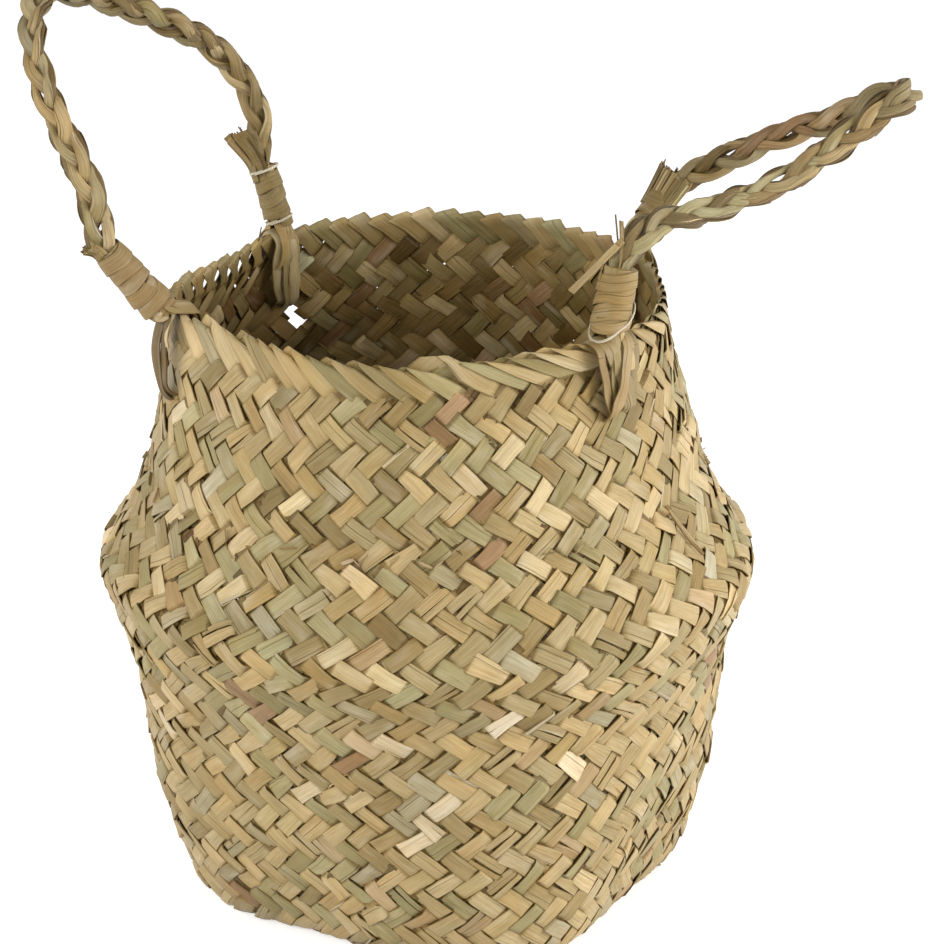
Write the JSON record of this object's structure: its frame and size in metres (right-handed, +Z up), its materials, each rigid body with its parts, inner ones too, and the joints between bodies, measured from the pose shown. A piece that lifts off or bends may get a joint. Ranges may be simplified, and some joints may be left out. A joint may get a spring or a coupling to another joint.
{
  "type": "belly basket",
  "caption": "Small plaited leaf belly basket with a folding waist, rounded square base, rolled round rim and two plaited rope handles looped through the wall.",
  "frame": {"origin": "centre of the flat underside, on the surface that the basket stands on", "axes": "+Z up the basket; +X towards the handle that lies low, -Y towards the viewer of the picture"},
  "size_m": [0.2899, 0.221, 0.3109],
  "materials": {
    "base_weave": "plaited dry leaf, matt",
    "lower_weave": "plaited dry leaf, satin",
    "belly_weave": "plaited dry leaf, satin",
    "shoulder_weave": "plaited dry leaf, satin",
    "collar_weave": "plaited dry leaf, satin",
    "rim_leaf": "folded dry leaf, satin",
    "strap_leaf": "flat leaf strap, slightly glossy",
    "rope_leaf": "plaited dry leaf, satin",
    "binding_leaf": "wound dry leaf, satin",
    "cut_leaf": "frayed cut leaf ends, matt",
    "tie_thread": "thin pale thread"
  },
  "bodies": {
    "basket": {"base_panel": "base_weave", "lower_wall": "lower_weave", "belly_wall": "belly_weave", "shoulder_band": "shoulder_weave"},
    "collar": {"upper_wall": "collar_weave", "rim_edge": "rim_leaf", "left_front_strap": "strap_leaf", "left_back_strap": "strap_leaf", "right_front_strap": "strap_leaf", "right_back_strap": "strap_leaf"},
    "left_handle": {"left_handle_rope": "rope_leaf", "left_front_binding": "binding_leaf", "left_back_binding": "binding_leaf", "left_front_cut_ends": "cut_leaf", "left_back_cut_ends": "cut_leaf", "left_back_upper_tie": "tie_thread", "left_back_lower_tie": "tie_thread"},
    "right_handle": {"right_handle_rope": "rope_leaf", "right_front_binding": "binding_leaf", "right_back_binding": "binding_leaf", "right_front_cut_ends": "cut_leaf", "right_back_cut_ends": "cut_leaf", "right_front_tie": "tie_thread"}
  },
  "joints": [
    {"name": "belly_fold", "type": "slide", "parent": "basket", "child": "collar", "axis": [0, 0, -1], "range_m": [0, 0.075], "deforming": ["shoulder_band"]},
    {"name": "left_handle_swing", "type": "hinge", "parent": "collar", "child": "left_handle", "pos_m": [-0.07243, 0.01407, 0.21672], "axis": [0.3748, 0.9268, 0.0223], "range_deg": [-65, 50]},
    {"name": "right_handle_swing", "type": "hinge", "parent": "collar", "child": "right_handle", "pos_m": [0.06245, -0.00966, 0.21851], "axis": [0.1574, 0.9874, -0.0155], "range_deg": [-65, 50]}
  ]
}
